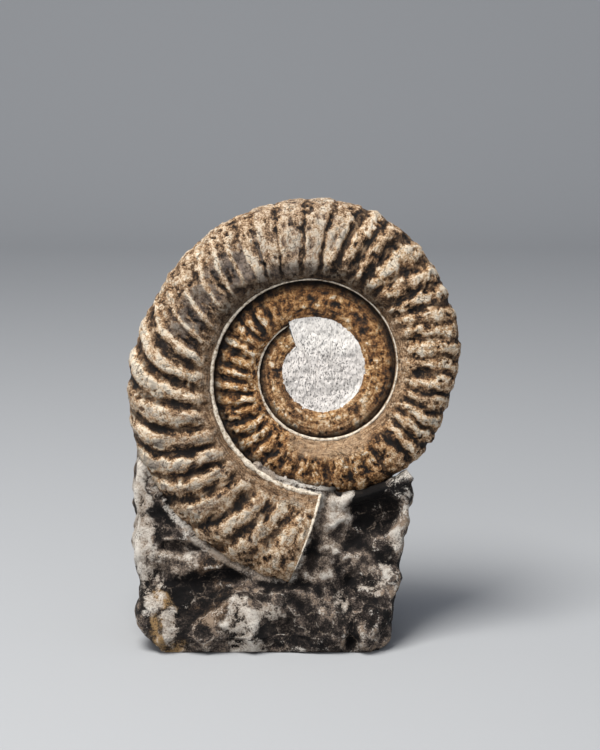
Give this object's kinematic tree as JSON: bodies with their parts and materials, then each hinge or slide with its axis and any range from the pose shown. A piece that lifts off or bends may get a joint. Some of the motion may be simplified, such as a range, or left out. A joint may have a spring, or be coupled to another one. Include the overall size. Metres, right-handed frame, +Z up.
{
  "type": "ammonite fossil on its matrix block",
  "caption": "Coiled, ribbed ammonite fossil that stands upright in a flat-bottomed block of the limestone it was found in, with pale rock left in the open middle of the coil.",
  "frame": {"origin": "on the flat base of the matrix block, midway along its length and near the middle of its depth", "axes": "+Z up, -Y is the side that the coil shows, +X to the right of someone facing that side"},
  "size_m": [0.1153, 0.0505, 0.1519],
  "materials": {
    "fossil_shell": "brown and ochre mineral, low sheen on the rib crests, dull in the grooves",
    "tooled_limestone": "matt, pale and pitted where a tool has bruised it",
    "broken_limestone": "dark grey broken faces with white calcite veins, rough"
  },
  "bodies": {
    "root": {"ammonite_shell": "fossil_shell", "umbilicus_matrix": "tooled_limestone", "matrix_block": "broken_limestone"}
  },
  "joints": []
}
